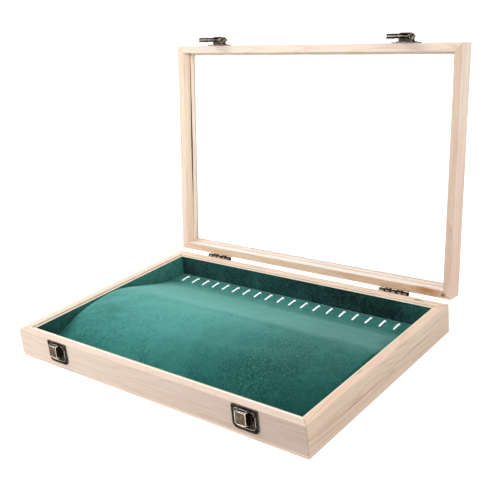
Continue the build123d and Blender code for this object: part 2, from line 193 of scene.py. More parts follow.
rings = w.times(w.maths("POWER", saw, 4.0), w.ranged(saw, 0.93, 1.0, 1.0, 0.0))
strength = w.times(given["Contrast"], w.ranged(broad, 0.3, 0.7, 0.35, 1.0))
streak = w.times(w.ranged(fibre, 0.4, 0.72), w.times(given["Contrast"], 0.5))
tone = w.mixed(w.ranged(broad, 0.38, 0.68, 0.0, 0.55), given["Pale"], given["Blush"])
tone = w.mixed(w.plus(w.times(rings, strength), streak, clamp=True), tone, given["Dark"])
tone = w.mixed(w.ranged(pore, 0.68, 0.74, 0.0, 0.16), tone, (0.42, 0.25, 0.15, 1))
w.give(Color=tone, Rings=rings, Height=w.minus(w.times(fibre, 0.7), w.times(rings, 0.3)))

# Where a sharp edge is near: 1 on the arris, 0 on the flats
nearEdge, w, given = newGroup("nearEdge", {"Radius": 0.0006}, ("Mask",))
w.give(Mask=w.ranged(w.edgeLean(given["Radius"]), 0.99, 0.86))

# Faces that look one way, told by the normal of the piece itself
facing, w, given = newGroup("facing", {"Normal": None, "Way": (0, 0, 1), "From": 0.7, "To": 0.9}, ("Mask",))
lean = w.vector("DOT_PRODUCT", given["Normal"], given["Way"])
w.give(Mask=w.ranged(lean, given["From"], given["To"]))

# A round stain or knot at a place, fading from its middle
softSpot, w, given = newGroup(
    "softSpot", {"Vector": None, "Place": (0, 0, 0), "Stretch": (1, 1, 1), "Reach": 0.01}, ("Mask",))
rough = w.noise(given["Vector"], 260.0, 3.0)
scaled = w.vector("MULTIPLY", w.vector("SUBTRACT", given["Vector"], given["Place"]), given["Stretch"])
far = w.maths("DIVIDE", w.vector("LENGTH", scaled), given["Reach"])
w.give(Mask=w.ranged(w.plus(far, w.times(w.minus(rough, 0.5), 0.9)), 1.0, 0.15))

# Dark hairline where two mitred rails meet: |x| and |y| run out of their corner together
mitreLine, w, given = newGroup(
    "mitreLine", {"Vector": None, "Half Width": 0.175, "Half Depth": 0.12, "Line": 0.00022}, ("Mask",))
parts = w.split(given["Vector"])
sideways = w.minus(w.size(parts[0]), given["Half Width"])
endways = w.minus(w.size(parts[1]), given["Half Depth"])
apart = w.size(w.minus(sideways, endways))
w.give(Mask=w.ranged(w.maths("DIVIDE", apart, given["Line"]), 1.0, 0.35))

# Crushed nap: patches where the pile lies another way, with a fine pile under them
velvetNap, w, given = newGroup(
    "velvetNap", {"Vector": None, "Patch Scale": 60.0, "Crush": 1.0, "Fleck": 1.0}, ("Nap", "Height"))
swirl = w.put("TexNoise", {"Vector": given["Vector"], "Scale": 22.0, "Detail": 2.0})["Color"]
push = w.put("VectorMath", {0: swirl, "Scale": 0.018}, operation="SCALE")[0]
turned = w.vector("ADD", given["Vector"], push)
patch = w.noise(turned, given["Patch Scale"], 4.0, 0.62)
pile = w.noise(given["Vector"], 1900.0)
tufts = w.noise(turned, 520.0, 3.0, 0.72)
tuftMask = w.times(w.minus(tufts, 0.5), w.ranged(patch, 0.4, 0.62, 5.0, 1.2))
crease = w.ranged(w.size(w.minus(w.noise(turned, 34.0, 3.0), 0.5)), 0.0, 0.02, 1.0, 0.0)
nap = w.minus(w.ranged(patch, 0.3, 0.72), w.times(crease, 0.12), clamp=True)
nap = w.plus(nap, w.minus(pile, 0.5))
nap = w.plus(nap, w.times(tuftMask, given["Fleck"]), clamp=True)
w.give(Nap=w.times(nap, given["Crush"]), Height=w.plus(w.times(patch, 0.5), w.times(tufts, 0.5)))

# Antique plating: dark in the hollows, rubbed to bright metal on the edges
rubbedEdges, w, given = newGroup(
    "rubbedEdges", {"Vector": None, "Radius": 0.0005, "Amount": 1.0}, ("Edge", "Blotch", "Scratch"))
blotch = w.noise(given["Vector"], 420.0, 4.0, 0.65)
scratch = w.noise(w.vector("MULTIPLY", given["Vector"], (1, 0.12, 0.3)), 2600.0)
edge = w.times(w.ranged(w.edgeLean(given["Radius"]), 0.995, 0.93), w.ranged(blotch, 0.3, 0.6, 0.35, 1.0))
w.give(Edge=w.times(edge, given["Amount"], clamp=True), Blotch=blotch, Scratch=w.ranged(scratch, 0.62, 0.7))

print("stage: finishes")

pineSettings = {
    "pale": srgb(243, 229, 214), "dark": srgb(205, 170, 140), "blush": srgb(241, 215, 198),
    "arris": srgb(255, 247, 238), "roughness": 0.62, "ringGap": 0.0041, "contrast": 0.6, "relief": 0.35,
    "arrisRadius": 0.0008, "arrisAmount": 0.35, "speckle": srgb(140, 104, 76), "shade": srgb(196, 160, 128),
    "contactShadowTone": srgb(150, 142, 142), "innerGlintTone": srgb(255, 253, 248), "joint": srgb(150, 112, 80),
    "jointLevel": 0.01125, "seam": srgb(140, 104, 74), "tint": 0.85,
}


def pineFinish(name, turn=(0, 0, 0), seed=0.0, pith=(0.05, -0.05), contrast=1.0, lid=False, seams=True,
               spots=(), shade=0.0, faceTone=None, faceWay=(0, 0, 1), speckled=0.0, dark=None, lightFalloff=None,
               faceLight=None, innerEdgeGlint=None, seamWidth=0.0003, contactShadow=False, grooved=None):
    s = pineSettings
    material, w, where = newMaterial(name)
    parts = w.split(where)
    along = w.put("Mapping", {"Vector": where, "Rotation": turn})[0]
    grain = w.group(pineGrain, Vector=along, Pale=s["pale"], Dark=dark or s["dark"], Blush=s["blush"],
                    Ring_Gap=s["ringGap"], Contrast=s["contrast"] * contrast, Pith_Y=pith[0], Pith_Z=pith[1],
                    Seed=seed)
    colour = grain["Color"]
    if shade:
        colour = w.mixed(shade, colour, s["shade"])
    if faceTone:  # painted light and shade: one face takes a darker or paler tone as the light falls on it, with real speckles; the lining boards' raw edge takes its own colour
        dots = w.times(w.ranged(w.noise(where, 1050.0), 0.6, 0.72), w.ranged(w.noise(where, 130.0, 3.0), 0.4, 0.65))
        tinted = w.mixed(s["tint"], colour, faceTone, "MULTIPLY")
        tinted = w.mixed(w.times(dots, speckled), tinted, s["speckle"])
        colour = w.mixed(w.looking(faceWay), colour, tinted)
    if faceLight:  # painted light and shade: way and tone of a second face, multiplied in to lighten or darken it as the light falls
        way, tone = faceLight
        colour = w.mixed(w.looking(way), colour, w.mixed(s["tint"], colour, tone, "MULTIPLY"))
    if lightFalloff:  # painted shade: axis, first and last place, tone and way: one face darkens along the board as the light falls off
        axis, first, last, tone, way = lightFalloff
        amount = w.times(w.ranged(parts[axis], first, last), w.ranged(w.looking(way), 0, 1, 0.15, 1))
        colour = w.mixed(amount, colour, w.mixed(1.0, colour, tone, "MULTIPLY"))
    if contactShadow:  # painted contact shadow: the lowest edge is greyed where the box stands on the floor
        colour = w.mixed(w.ranged(parts[2], 0.0002, 0.0011, 0.75, 0.0), colour, s["contactShadowTone"])
    colour = w.stained(where, colour, spots)
    # painted highlight: the arrises are lightened as where they catch the light, partly bare worn wood
    arris = w.group(nearEdge, Radius=s["arrisRadius"])["Mask"]
    colour = w.mixed(w.times(arris, s["arrisAmount"]), colour, s["arris"])
    if innerEdgeGlint:  # painted highlight: place and half width of the inner arris, drawn nearly white as where it catches the light
        place, reach = innerEdgeGlint
        line = w.ranged(w.size(w.minus(parts[1], place)), reach, reach * 0.5)
        colour = w.mixed(w.times(line, w.ranged(parts[2], 0.0275, 0.0285)), colour, s["innerGlintTone"])
    if seams:
        square = where
        if lid:  # as if the lid were shut, with heights from the hinge line
            centred = w.vector("ADD", where, tuple(-hingeLine))
            flat = w.put("Mapping", {"Vector": centred, "Rotation": (openAngle, 0, 0)})[0]
            square = w.vector("ADD", flat, (0, hingeY * mm, 0))
            if grooved:  # way of the face that the glass bead stands on: a dark joint runs along the bead
                joint = w.ranged(w.size(w.minus(w.split(flat)[2], s["jointLevel"])), 0.0006, 0.0003)
                colour = w.mixed(w.times(w.looking(grooved), w.times(joint, 0.7)), colour, s["joint"])
        seam = w.group(mitreLine, Vector=square, Line=seamWidth)["Mask"]
        colour = w.mixed(w.times(seam, 0.6), colour, s["seam"])
    rough = w.ranged(grain["Rings"], 0.0, 1.0, s["roughness"] + 0.06, s["roughness"] - 0.06)
    w.shade(Base_Color=colour, Roughness=rough, Specular_IOR_Level=0.35,
            Normal=w.bump(grain["Height"], s["relief"], 0.0002))
    return material


sideTurn, lidTurn, lidTurnSide = (0, 0, quarter), (openAngle, 0, 0), (openAngle, 0, quarter)
knotBrown, knotDark, grainBrown = srgb(176, 124, 84), srgb(96, 62, 40), srgb(150, 108, 80)
mating = tuple(opened @ Vector((0, 0, -1)))
upward, rightward = (0, 0, 1), (1, 0, 0)
railFinishes = {
    "base_front": ("pineBaseFront", dict(
        seed=0.13, pith=(-0.155, -0.012), contrast=0.9, dark=srgb(214, 180, 158), faceTone=srgb(248, 237, 233),
        seamWidth=0.0007, lightFalloff=(0, -0.12, 0.175, srgb(214, 208, 208), (0, -1, 0)), innerEdgeGlint=(-0.1121, 0.0012),
        contactShadow=True, faceLight=((0, -1, 0), srgb(244, 241, 238)))),
    "base_back": ("pineBaseBack", dict(
        seed=1.7, pith=(0.2, -0.03), faceTone=srgb(255, 252, 246),
        spots=[((0.145, 0.1155, 0.029), (0.3, 1, 1), 0.0022, knotDark, 0.9)])),
    "base_left": ("pineBaseLeft", dict(turn=sideTurn, seed=2.9, pith=(0.22, 0.09), faceTone=srgb(255, 248, 242))),
    "base_right": ("pineBaseRight", dict(
        turn=(0.03, 0, quarter), seed=4.1, pith=(-0.5, 0.34), contrast=0.8, dark=srgb(186, 148, 120),
        seamWidth=0.0007, contactShadow=True, faceTone=srgb(240, 232, 220), faceWay=rightward, speckled=0.45,
        faceLight=(upward, srgb(250, 232, 219)),
        spots=[((0.1672, -0.032, 0.029), (1, 0.3, 1), 0.0016, knotBrown, 0.9),
               ((0.175, -0.05, 0.0125), (1, 0.011, 1), 0.0009, grainBrown, 0.7),
               ((0.175, 0.055, 0.0155), (1, 0.012, 1), 0.0008, grainBrown, 0.6)])),
    "lid_front": ("pineLidTop", dict(
        turn=lidTurn, seed=5.3, pith=(-0.3, -0.2), faceTone=srgb(252, 248, 246), speckled=0.2)),
    "lid_back": ("pineLidLow", dict(
        turn=lidTurn, seed=6.2, pith=(0.3, -0.24), faceTone=srgb(244, 227, 212), speckled=0.8,
        faceLight=(upward, (1.09, 1.22, 1.36, 1)), grooved=upward,
        lightFalloff=(0, -0.08, 0.1, srgb(238, 232, 224), mating),
        spots=[((0.151, 0.1237, 0.0366), (0.3, 1, 1), 0.0062, knotBrown, 1.0),
               ((0.1675, 0.1235, 0.0358), (0.8, 1, 1), 0.0028, knotDark, 1.0)])),
    "lid_left": ("pineLidLeft", dict(
        turn=lidTurnSide, seed=7.7, pith=(0.3, 0.1), faceTone=srgb(245, 240, 236),
        faceLight=(rightward, srgb(255, 244, 232)))),
    "lid_right": ("pineLidRight", dict(
        turn=lidTurnSide, seed=8.4, pith=(-0.32, -0.1), contrast=0.8, faceTone=srgb(230, 218, 208), speckled=0.95,
        faceLight=(rightward, (1.1, 1.06, 1.03, 1)), lightFalloff=(2, 0.22, 0.05, srgb(240, 226, 220), rightward))),
}
for rail, (name, settings) in railFinishes.items():
    if rail.startswith("lid"):
        settings.update(lid=True, faceWay=mating)
    dress(f"{rail}_rail", pineFinish(name, **settings))
dress("bottom_panel", pineFinish("plywoodPanel", seed=11.0, pith=(0.4, -0.3), seams=False, shade=0.3))
for side in allSides:  # raw edge of the thin lining boards, paler than the rails
    turn = sideTurn if side in ("left", "right") else (0, 0, 0)
    dress(f"{side}_lining_board", pineFinish(f"{side}BoardEdge", turn=turn, seed=3.3 + len(side), pith=(0.4, 0.5),
                                             contrast=0.35, seams=False, faceTone=srgb(246, 252, 240)))
dress("pad_board", pineFinish("padBoard", seed=15.0, seams=False, shade=0.5))

velvetSettings = {
    "deep": srgb(24, 90, 84), "lit": srgb(54, 132, 124), "sheenTint": srgb(170, 232, 222),
    "sheen": 0.8, "sheenRoughness": 0.38, "roughness": 0.85, "patchScale": 46.0,
    "tufts": ((0.53, 0.62, 0.75, srgb(8, 50, 46)), (0.45, 0.36, 0.25, srgb(104, 174, 166))),
    "crease": srgb(1, 8, 8),
}


def velvetFinish(name, crush=1.0, deep=None, lit=None, relief=0.35, shadeAndCrush=(), flecked=None, creased=None):
    s = velvetSettings
    material, w, where = newMaterial(name)
    fleck = w.ranged(w.spot(where, *flecked), 0.0, 1.0, 0.9, 1.8) if flecked else 1.0
    nap = w.group(velvetNap, Vector=where, Patch_Scale=s["patchScale"], Crush=crush, Fleck=fleck)
    colour = w.mixed(nap["Nap"], deep or s["deep"], lit or s["lit"])
    colour = w.stained(where, colour, shadeAndCrush)  # painted light and shade: broad areas lighter or darker as the light falls, and dark crush marks in the pile
    if flecked:  # place, stretch and reach: single tufts, dark and pale, about a pixel of the photo apart
        field = w.noise(where, 640.0, 2.0, 0.6)
        area = w.spot(where, *flecked)
        for low, high, amount, tone in s["tufts"]:
            colour = w.mixed(w.times(w.ranged(field, low, high), w.times(area, amount)), colour, tone)
    if creased:  # place, stretch and reach of an area with black creases in the nap
        field = w.noise(where, 95.0, 3.0, 0.6, 1.6)
        lines = w.ranged(w.size(w.minus(field, 0.5)), 0.01, 0.035, 1.0, 0.0)
        lines = w.times(lines, w.spot(where, *creased), clamp=True)
        colour = w.mixed(w.times(lines, 0.95), colour, s["crease"])
    w.shade(Base_Color=colour, Roughness=s["roughness"], Specular_IOR_Level=0.1, Sheen_Weight=s["sheen"],
            Sheen_Roughness=s["sheenRoughness"], Sheen_Tint=s["sheenTint"],
            Normal=w.bump(nap["Height"], relief, 0.0006))
    return material


# the pad's spots are painted light and shade: a lit patch near the crest, darker right and front, shaded creases at
# the left end
padVelvet = velvetFinish(
    "padVelvet", crush=0.85, relief=0.7, flecked=((0.086, -0.046, 0.02), (1.5, 0.8, 1), 0.085), shadeAndCrush=[
        ((0.12, 0.04, 0.02), (0.8, 1.2, 1), 0.1, srgb(22, 78, 72), 0.6),
        ((-0.06, 0.0, 0.02), (0.8, 1.3, 1), 0.14, srgb(92, 168, 161), 0.62),
        ((0.13, -0.08, 0.01), (0.8, 1.2, 1), 0.13, srgb(14, 62, 58), 0.75),
        ((-0.124, -0.038, 0.026), (0.45, 1, 1), 0.009, srgb(30, 98, 92), 0.55),
        ((-0.112, -0.05, 0.024), (0.5, 1.4, 1), 0.007, srgb(28, 92, 86), 0.5)])
# lit and shaded copies of one velvet: the left wall painted light with the pad's painted shadow at its front; back,
# right and front walls painted shade, the back with a painted light patch and real crush marks
shadedVelvet = dict(crush=0.8, deep=srgb(8, 36, 34), lit=srgb(24, 72, 68))
wallVelvets = {
    "left": velvetFinish("leftVelvet", crush=0.8, deep=srgb(42, 98, 90), lit=srgb(74, 142, 132), shadeAndCrush=[
        ((-0.163, -0.1, 0.01), (1, 1.2, 1), 0.09, srgb(18, 58, 54), 0.75)]),
    "back": velvetFinish("backVelvet", deep=srgb(10, 40, 38), lit=srgb(34, 82, 78), shadeAndCrush=[
        ((0.16, 0.108, 0.02), (1, 1, 1), 0.045, srgb(48, 104, 100), 0.7),
        ((0.055, 0.108, 0.018), (0.6, 1, 1.4), 0.016, srgb(3, 14, 14), 0.45),
        ((0.092, 0.108, 0.014), (0.5, 1, 1.2), 0.018, srgb(2, 12, 12), 0.5),
        ((0.122, 0.108, 0.012), (0.6, 1, 1.6), 0.013, srgb(3, 15, 15), 0.45)],
        creased=((0.085, 0.108, 0.016), (0.4, 1, 1), 0.05)),
    "right": velvetFinish("rightVelvet", **shadedVelvet),
    "front": velvetFinish("frontVelvet", **shadedVelvet),
}

metalSettings = {
    "dark": srgb(34, 25, 17), "mid": srgb(126, 108, 90), "bright": srgb(252, 243, 232), "edgeRadius": 0.0008,
    "shadow": srgb(18, 11, 6), "black": srgb(24, 17, 12),
}


def bronzeFinish(name, amount=1.0, lift=0.0, shadedSide=None, highlightSide=None, sunkFrom=None, gapShadeAt=None,
                 dark=None, mid=None, bright=None, rim=(0.7, 0.65, 0.6, 1)):
    s = metalSettings
    material, w, where = newMaterial(name)
    worn = w.group(rubbedEdges, Vector=where, Radius=s["edgeRadius"], Amount=amount)
    edge, blotch = worn["Edge"], worn["Blotch"]
    tone = w.mixed(w.ranged(blotch, 0.35, 0.7, lift, 1.0), dark or s["dark"], mid or s["mid"])
    parts = w.split(where)
    if sunkFrom:  # the flat of the plate keeps its dark plating, but for sparks where it is scuffed
        sunk = w.ranged(parts[1], sunkFrom, sunkFrom + 0.0004)
        tone = w.mixed(w.times(sunk, w.minus(0.94, w.ranged(blotch, 0.6, 0.68))), tone, s["shadow"])
        edge = w.times(edge, w.minus(1.0, w.times(sunk, 0.8)))
    if highlightSide:  # painted highlight: faces that look one way are lightened in blotches, as where they catch the light
        mask = w.times(w.looking(highlightSide, From=0.78, To=0.95), w.ranged(blotch, 0.4, 0.54))
        tone = w.mixed(mask, tone, bright or s["bright"])
    tone = w.mixed(w.times(worn["Scratch"], 0.25), tone, s["bright"])
    tone = w.mixed(edge, tone, s["bright"])
    if shadedSide:  # painted shade: faces that look one way, such as undersides, are darkened as if out of the light
        tone = w.mixed(w.times(w.looking(shadedSide, From=0.35, To=0.75), 0.92), tone, s["shadow"])
    if gapShadeAt:  # painted shade: first place and pitch along x: darker in the gaps between the knuckles
        first, pitch = gapShadeAt
        phase = w.maths("FRACT", w.maths("DIVIDE", w.minus(w.size(parts[0]), first), pitch))
        near = w.size(w.minus(phase, 0.5))
        tone = w.mixed(w.times(w.ranged(near, 0.33, 0.4), 0.95), tone, s["shadow"])
    rough = w.minus(w.ranged(blotch, 0.3, 0.7, 0.3, 0.52), w.times(edge, 0.12))
    w.shade(Base_Color=tone, Metallic=1.0, Specular_Tint=rim, Roughness=rough, Normal=w.bump(blotch, 0.2, 0.0001))
    return material


black = metalSettings["black"]
catchBronze = bronzeFinish("catchBronze", lift=0.1, shadedSide=rightward, sunkFrom=-0.1218)
claspBronze = bronzeFinish("claspBronze", amount=0.7, dark=black, mid=srgb(112, 96, 82), shadedSide=(0, 0, -1),
                           rim=(0.5, 0.45, 0.4, 1))
# a near-black copy of the bronze: painted shade for the dark beads along rims, ridges and rings
shadowBronze = bronzeFinish("shadowBronze", amount=0.1, dark=srgb(14, 10, 7), mid=srgb(40, 30, 22),
                          shadedSide=(0, 0, -1), rim=(0.1, 0.08, 0.06, 1))
softBronze = bronzeFinish("softBronze", amount=0.9, mid=srgb(150, 132, 114))
# a pale copy of the bronze: painted highlight for the bright beads, partly worn metal
highlightBronze = bronzeFinish("highlightBronze", amount=1.2, lift=0.5, mid=srgb(214, 200, 184))
hingeBronze = bronzeFinish("hingeBronze", amount=0.1, highlightSide=(0, -0.99, -0.12), gapShadeAt=(0.099, 0.0064),
                           dark=black, mid=srgb(66, 48, 32), bright=srgb(226, 200, 172), rim=(0.2, 0.16, 0.12, 1))
screwBronze = bronzeFinish("screwBronze", amount=0.3, dark=black, mid=srgb(84, 66, 46))

glassSettings = {
    "tint": (0.985, 0.992, 0.99, 1), "wiped": (0.84, 0.88, 0.93, 1), "dust": (0.7, 0.72, 0.75, 1),
    "wipeSlope": 0.2068, "wipeStart": 0.0564, "bend": 1.45,
}


def glassFinish():
    s = glassSettings
    material, w, where = newMaterial("clearGlass")
    smear = w.noise(where, 9.0, 3.0)
    dusty = w.times(w.ranged(w.noise(where, 900.0), 0.74, 0.8), 0.5)
    parts = w.split(where)  # one faint slanting wipe mark
    apart = w.size(w.minus(parts[2], w.plus(w.times(parts[0], s["wipeSlope"]), s["wipeStart"])))
    wiped = w.times(w.ranged(apart, 0.0002, 0.0007, 1.0, 0.0), w.ranged(smear, 0.4, 0.6, 0.1, 0.5))
    colour = w.mixed(w.times(dusty, 0.6), w.mixed(wiped, s["tint"], s["wiped"]), s["dust"])
    w.shade(Base_Color=colour, Roughness=w.plus(w.ranged(smear, 0.5, 0.8, 0.0, 0.05), dusty),
            Transmission_Weight=1.0, IOR=s["bend"])
    return material


def hookFinish():  # white stock given a faint glow of its own: painted light, so the thin hooks stay bright white
    material, w, where = newMaterial("glowingHook")
    scuff = w.noise(where, 700.0, 3.0)
    tone = w.mixed(w.ranged(scuff, 0.4, 0.75, 0.0, 0.4), srgb(255, 255, 255), srgb(250, 249, 247))
    w.shade(Base_Color=tone, Roughness=w.ranged(scuff, 0.3, 0.7, 0.28, 0.45), Coat_Weight=0.3,
            Emission_Color=(1, 1, 1, 1), Emission_Strength=0.42)
    return material


# a mottled brown for the strips of painted shade
def shadeStripFinish(name, deep, light):
    material, w, where = newMaterial(name)
    w.shade(Base_Color=w.mixed(w.ranged(w.noise(where, 160.0, 3.0), 0.35, 0.65), deep, light), Roughness=0.7)
    return material


dress("glass_pane", glassFinish())
glowingHook = hookFinish()
seamShadeBrown = shadeStripFinish("seamShadeBrown", srgb(128, 92, 60), srgb(176, 138, 100))
gapShadowBrown = shadeStripFinish("gapShadowBrown", srgb(84, 56, 32), srgb(124, 90, 58))


def addObject(name, data):
    thing = bpy.data.objects.new(name, data)
    bpy.context.scene.collection.objects.link(thing)
    return thing


def meshOf(work, name):  # a mesh from the working one, which is let go
    mesh = bpy.data.meshes.new(name)
    work.to_mesh(mesh)
    work.free()
    return mesh


def sharpen(mesh, degrees):
    mesh.set_sharp_from_angle(angle=math.radians(degrees))


def housed(name, mesh, material, body):  # an object that rides on its body
    piece = addObject(name, mesh)
    mesh.materials.clear()
    mesh.materials.append(material)
    mesh.shade_smooth()
    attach(piece, body)
    return piece


def outward(piece):
    work = bmesh.new()
    work.from_mesh(piece.data)
    bmesh.ops.recalc_face_normals(work, faces=work.faces)
    work.to_mesh(piece.data)
    work.free()


def addPiece(name, vertices, faces, material, body, sharp=None):
    mesh = bpy.data.meshes.new(name)
    mesh.from_pydata([tuple(v) for v in vertices], [], faces)
    mesh.validate()
    piece = housed(name, mesh, material, body)
    outward(piece)
    if sharp:
        sharpen(mesh, sharp)
    return piece


def applyAll(piece):  # bake the modifiers into the mesh
    bpy.context.view_layer.update()
    graph = bpy.context.evaluated_depsgraph_get()
    mesh = bpy.data.meshes.new_from_object(piece.evaluated_get(graph))
    old = piece.data
    piece.modifiers.clear()
    piece.data = mesh
    bpy.data.meshes.remove(old)


def bridged(count, ring, base=0, closed=False, turned=False):  # quads from each ring to the next
    faces = []
    for k in range(count if closed else count - 1):
        a, b = base + k * ring, base + (k + 1) % count * ring
        for j in range(ring):
            i = (j + 1) % ring
            faces.append((a + j, b + j, b + i, a + i) if turned else (a + j, a + i, b + i, b + j))
    return faces


def capped(start, ring, turned=False):  # the face that shuts a ring
    return tuple(range(start, start + ring))[::-1 if turned else 1]


def sheetFaces(columns, rows):  # a lower and an upper layer of quads, shut at the rims
    width = columns + 1
    count = width * (rows + 1)
    faces = []
    for layer, row, column in product((0, 1), range(rows), range(columns)):
        a = layer * count + row * width + column
        faces.append((a, a + 1, a + 1 + width, a + width)[::1 if layer else -1])
    for column in range(columns):
        a, b = column, rows * width + column
        faces += [(a, a + 1, count + a + 1, count + a), (b + 1, b, count + b, count + b + 1)]
    for row in range(rows):
        a, b = row * width, row * width + columns
        faces += [(a + width, a, count + a, count + a + width), (b, b + width, count + b + width, count + b)]
    return faces


def circle(sides):  # cosine and sine of even steps all the way round
    return [(math.cos(turn), math.sin(turn)) for turn in (2 * math.pi * k / sides for k in range(sides))]


def arc(steps):  # the angles of a quarter turn in even steps
    return [step / steps * quarter for step in range(1, steps + 1)]


def lathed(profile, sides):  # radius and height from the tip down, turned about z and shut below
    vertices = [(0, 0, profile[0][1])]
    vertices += [(radius * x, radius * y, height) for radius, height in profile[1:] for x, y in circle(sides)]
    rings = len(profile) - 1
    fan = [(0, 1 + j, 1 + (j + 1) % sides) for j in range(sides)]
    return vertices, fan + bridged(rings, sides, 1, turned=True) + [capped(1 + (rings - 1) * sides, sides)]


def rounded(corners, radii, closed=False, steps=5):  # flat path with its corners turned in small steps
    count = len(corners)
    path = []
    for k, (corner, radius) in enumerate(zip(corners, radii)):
        here = Vector(corner)
        if radius <= 0 or (not closed and k in (0, count - 1)):
            path.append(here)
            continue
        before = (Vector(corners[k - 1]) - here).normalized()
        after = (Vector(corners[(k + 1) % count]) - here).normalized()
        half = before.angle(after) / 2
        reach = radius / math.tan(half)
        middle = here + (before + after).normalized() * radius / math.sin(half)
        start, stop = here + before * reach - middle, here + after * reach - middle
        sweep = start.angle_signed(stop)
        for step in range(steps + 1):
            turn = -sweep * step / steps
            path.append(middle + Vector((start.x * math.cos(turn) - start.y * math.sin(turn),
                                         start.x * math.sin(turn) + start.y * math.cos(turn))))
    return path


def tubeRun(points, radius, stand, closed=False, sides=8):  # round bead along a path, stand points off the surface
    vertices = []
    count = len(points)
    for k, point in enumerate(points):
        before = points[k - 1] if k or closed else point
        after = points[(k + 1) % count] if k < count - 1 or closed else point
        run = (after - before).normalized()
        across = run.cross(stand)
        if across.length < 0.2:
            across = run.cross(Vector((0.3, 0.2, 1)))
        across.normalize()
        over = across.cross(run)
        vertices += [point + (across * x + over * y) * radius for x, y in circle(sides)]
    faces = bridged(count, sides, closed=closed)
    if not closed:
        faces += [capped(0, sides), capped((count - 1) * sides, sides)]
    return vertices, faces


def domeRun(centre, radius, height, axis, sides=16, rings=4):  # low boss on a flat face
    basis = axis.to_track_quat("Z", "X").to_matrix()
    profile = [(0, height)] + [(math.sin(lean) * radius, math.cos(lean) * height) for lean in arc(rings)]
    vertices, faces = lathed(profile, sides)
    return [centre + basis @ Vector(v) for v in vertices], faces


def beadSet(name, runs, material, body):  # several runs of one metal as one piece
    vertices, faces = [], []
    for some, quads in runs:
        base = len(vertices)
        vertices += some
        faces += [tuple(base + i for i in quad) for quad in quads]
    addPiece(name, [v * mm for v in vertices], faces, material, body)


print("stage: metalwork")

metalPieces = {  # rolled edge, finish, body and slot of each pressed piece
    "catch": (0.18, catchBronze, "base", "clasp_metal"),
    "hasp_plate": (0.16, claspBronze, "lid", "clasp_metal"),
    "hasp": (0.16, claspBronze, "{hand}_hasp", "clasp_metal"),
    "hinge_base_leaf": (0.14, hingeBronze, "base", "hinge_metal"),
    "hinge_lid_leaf": (0.14, hingeBronze, "lid", "hinge_metal"),
}
rolled = {"merge": 0.002, "flat": 1.0, "crease": 35, "segments": 2, "profile": 0.6, "smooth": 28}


def softenedMetal(hand, kind):  # the pressed piece with its edges rolled over
    width, material, body, slot = metalPieces[kind]
    node = f"{hand}_{kind}"
    name = hand + kind.title().replace("_", "")
    work = bmesh.new()
    work.from_mesh(nodes[node].data)
    bmesh.ops.remove_doubles(work, verts=work.verts, dist=rolled["merge"] * mm)
    bmesh.ops.dissolve_limit(work, angle_limit=math.radians(rolled["flat"]), verts=work.verts, edges=work.edges)
    crease = math.radians(rolled["crease"])
    sharp = [e for e in work.edges if len(e.link_faces) == 2 and e.calc_face_angle(0) > crease]
    bmesh.ops.bevel(work, geom=sharp, offset=width * mm, segments=rolled["segments"], profile=rolled["profile"],
                    affect="EDGES", clamp_overlap=True)
    mesh = meshOf(work, name)
    piece = housed(name, mesh, material, body.format(hand=hand))
    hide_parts(node)
    sharpen(mesh, rolled["smooth"])


for hand in ("left", "right"):
    for kind in metalPieces:
        softenedMetal(hand, kind)
    dress(f"{hand}_hasp_pin", claspBronze)
    dress(f"{hand}_hinge_pin", hingeBronze)

catchBeads = {
    "outline": (11.7, 8.0, 25.9), "outlineRadii": (3.6, 3.6, 1.0, 1.0), "outlineBead": 0.5, "edgeBead": 0.27,
    "innerLine": (10.6, 9.1, 24.8), "innerBead": 0.2,
    "slotBead": 0.22, "faceY": -126.4, "rootY": -121.2, "top": 26.0, "faceLow": 14.6, "rootLow": 12.4,
    "faceHalf": 5.3, "rootHalf": 5.7, "corner": 1.6, "slotHalf": 3.9, "slotBack": -122.3, "slotFront": -125.1,
}


def dressCatch(hand, centre):  # beads round the plate and along the box: the dark outer bead is painted shade, the bright beads painted highlights and glints, partly worn edges
    s = catchBeads

    def at(x, y, z):
        return Vector((centre + x, y, z))

    def outline(corners, radii, y, bead, closed=False):
        return tubeRun([at(x, y, z) for x, z in rounded(corners, radii, closed=closed)], bead, frontward, closed)

    def frameLine(half, low, high, bead):
        corners = [(-half, low), (half, low), (half, high), (-half, high)]
        return outline(corners, s["outlineRadii"], plateY, bead, True)

    beadSet(f"{hand}CatchOutline", [frameLine(*s["outline"], s["outlineBead"])], shadowBronze, "base")
    top, face, root, low, corner = s["top"], s["faceHalf"], s["rootHalf"], s["faceLow"], s["corner"]
    runs = [frameLine(*s["innerLine"], s["innerBead"])]
    runs.append(tubeRun([at(-root, s["rootY"], top), at(-face, s["faceY"], top), at(face, s["faceY"], top),
                         at(root, s["rootY"], top)], s["edgeBead"], upright))
    runs.append(outline([(-face, top), (-face, low), (face, low), (face, top)], (0, corner, corner, 0), s["faceY"],
                        s["edgeBead"]))
    for way in (-1, 1):
        runs.append(tubeRun([at(way * (face - 0.5), s["faceY"], low + 0.5),
                             at(way * (root - 0.5), s["rootY"] + 0.1, s["rootLow"] + 0.5)], s["edgeBead"] * 0.9,
                            Vector((way, 0, -1))))
    slot = [at(way * s["slotHalf"], s[y], top)
            for way, y in ((-1, "slotBack"), (-1, "slotFront"), (1, "slotFront"), (1, "slotBack"))]
    runs.append(tubeRun(slot, s["slotBead"], upright, closed=True))
    beadSet(f"{hand}CatchBeads", runs, highlightBronze, "base")


